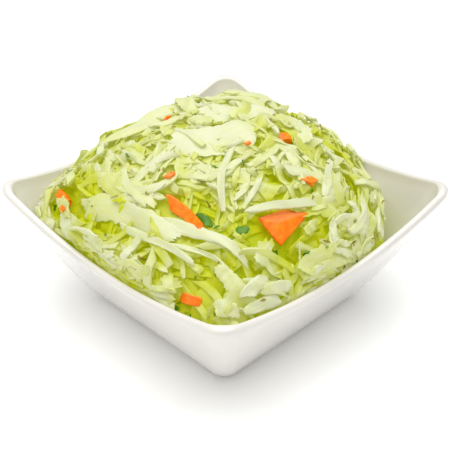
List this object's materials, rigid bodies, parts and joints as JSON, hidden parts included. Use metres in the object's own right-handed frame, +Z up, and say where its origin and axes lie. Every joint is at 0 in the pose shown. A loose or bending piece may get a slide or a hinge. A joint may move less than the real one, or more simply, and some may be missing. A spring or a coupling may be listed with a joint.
{
  "type": "bowl of coleslaw",
  "caption": "Square porcelain bowl with raised corners, heaped with cut white cabbage slaw and pieces of carrot.",
  "frame": {"origin": "on the table under the middle of the bowl's foot", "axes": "+Z up out of the bowl, X and Y along the bowl's sides; the corner at +X -Y faces the viewer of the picture"},
  "size_m": [0.15, 0.15, 0.0959],
  "materials": {
    "bowl": "clear glossy glaze",
    "cabbage": "wet cut cabbage",
    "carrot": "wet cut carrot"
  },
  "bodies": {
    "root": {"bowl": "bowl", "slaw": "cabbage", "carrot_wedge": "carrot", "carrot_slice": "carrot", "carrot_curl": "carrot", "carrot_stick": "carrot", "carrot_slab": "carrot"}
  },
  "joints": []
}
